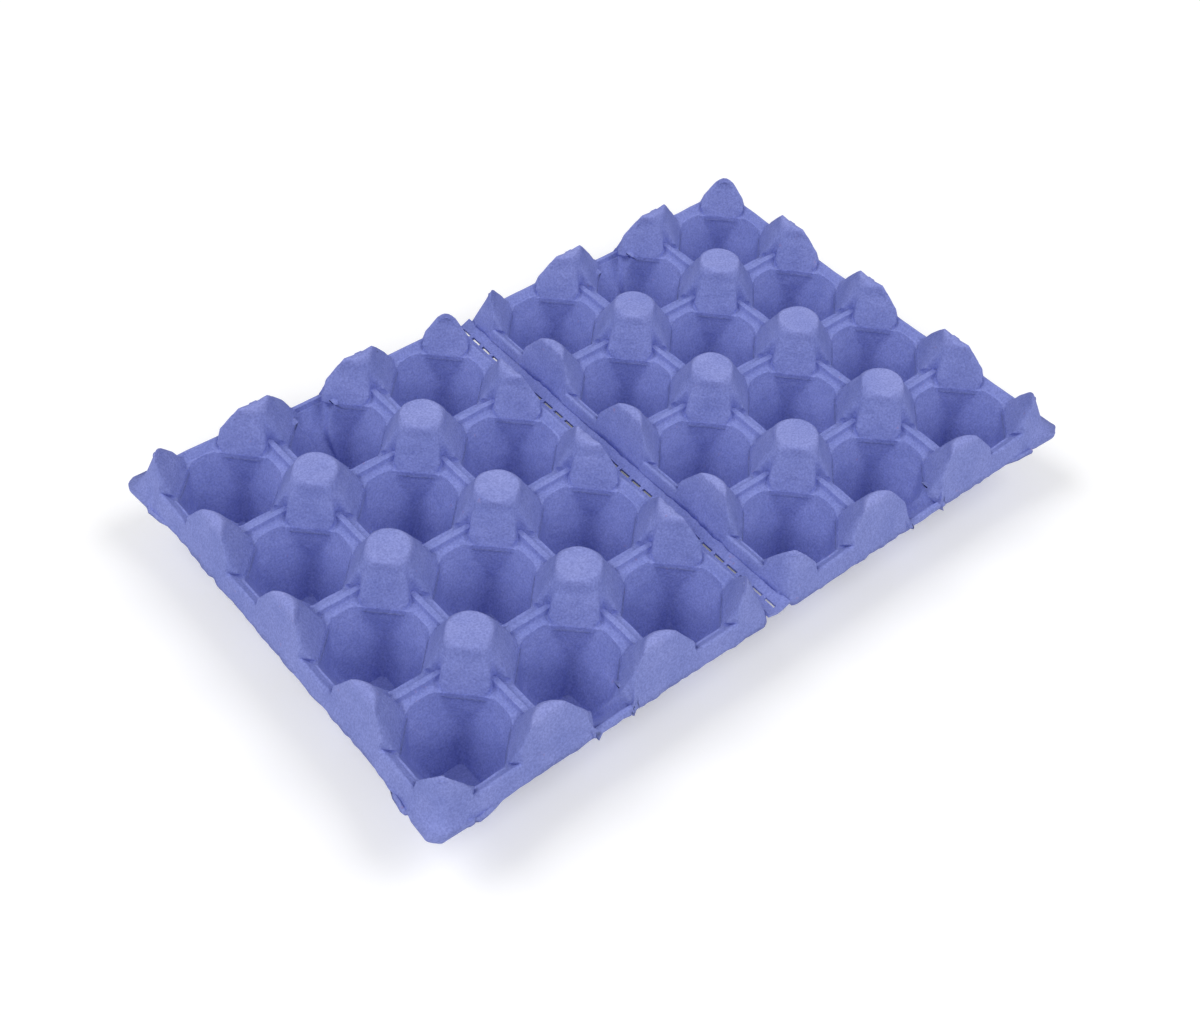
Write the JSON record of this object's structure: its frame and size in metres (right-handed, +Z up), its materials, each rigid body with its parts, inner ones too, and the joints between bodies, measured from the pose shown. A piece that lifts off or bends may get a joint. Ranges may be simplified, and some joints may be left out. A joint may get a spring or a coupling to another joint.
{
  "type": "pulp egg tray",
  "caption": "Moulded pulp egg tray with rows of tapered cups between round-topped posts and a perforated web across the middle where it tears into two halves.",
  "frame": {"origin": "middle of the tray's footprint, on the plane the cup floors stand on", "axes": "+X along the tray's long side, across the tear line; +Y along the tear line; +Z up, out of the cups' mouths"},
  "size_m": [0.3042, 0.1968, 0.046],
  "materials": {
    "pulp": "matte"
  },
  "bodies": {
    "root": {"egg_tray": "pulp"}
  },
  "joints": []
}
